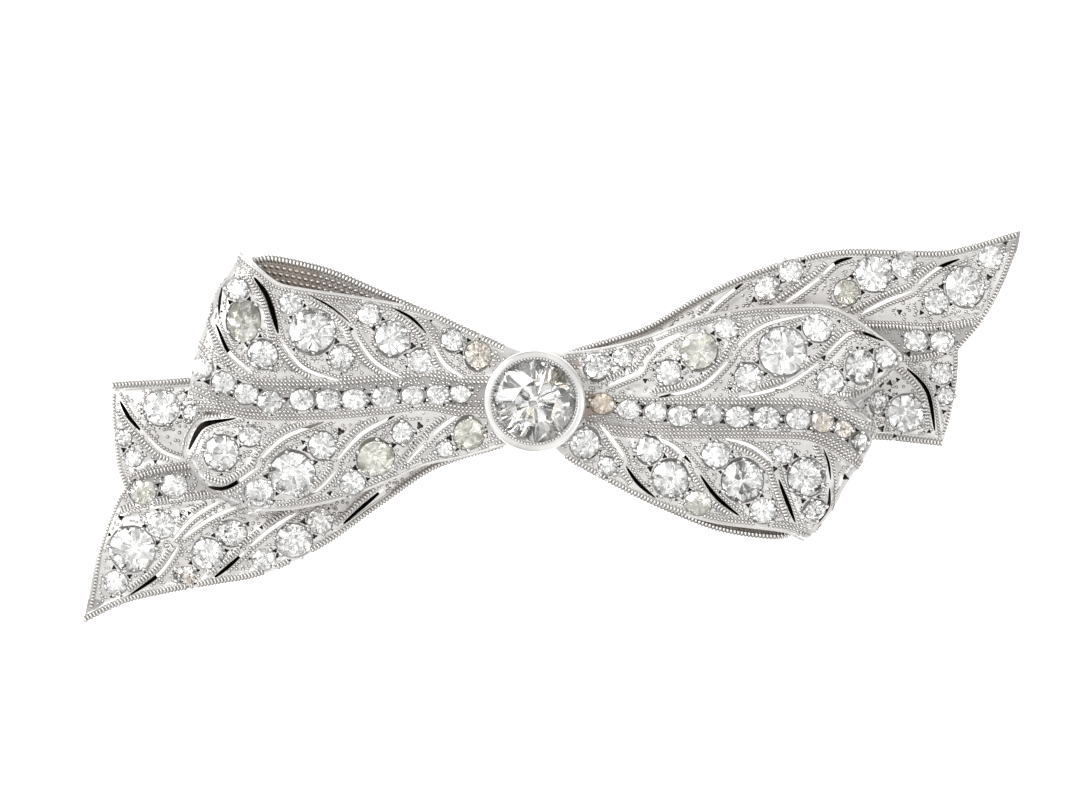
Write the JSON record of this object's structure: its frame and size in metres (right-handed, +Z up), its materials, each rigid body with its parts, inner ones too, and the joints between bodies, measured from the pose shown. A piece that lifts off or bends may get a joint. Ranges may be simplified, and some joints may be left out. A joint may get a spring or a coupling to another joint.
{
  "type": "bow brooch",
  "caption": "Pierced ribbon bow brooch with hollow loops over swallow-tailed ends, a faceted stone in a round collet at the knot, and a plain pin behind.",
  "frame": {"origin": "middle of the bow's outline, on the surface that the brooch lies on", "axes": "+X along the bow towards the raised tail, +Y across it towards the upper edge in the picture, +Z up out of the bow's front"},
  "size_m": [0.0621, 0.026, 0.0092],
  "materials": {
    "ribbon_metal": "pierced and millegrained platinum, bright-cut, set with small stones",
    "collet_metal": "polished platinum",
    "stone": "faceted colourless stone",
    "pin_metal": "polished white metal"
  },
  "bodies": {
    "root": {"ribbon_bow": "ribbon_metal", "centre_collet": "collet_metal", "centre_stone": "stone", "pin_fitting": "pin_metal"}
  },
  "joints": []
}
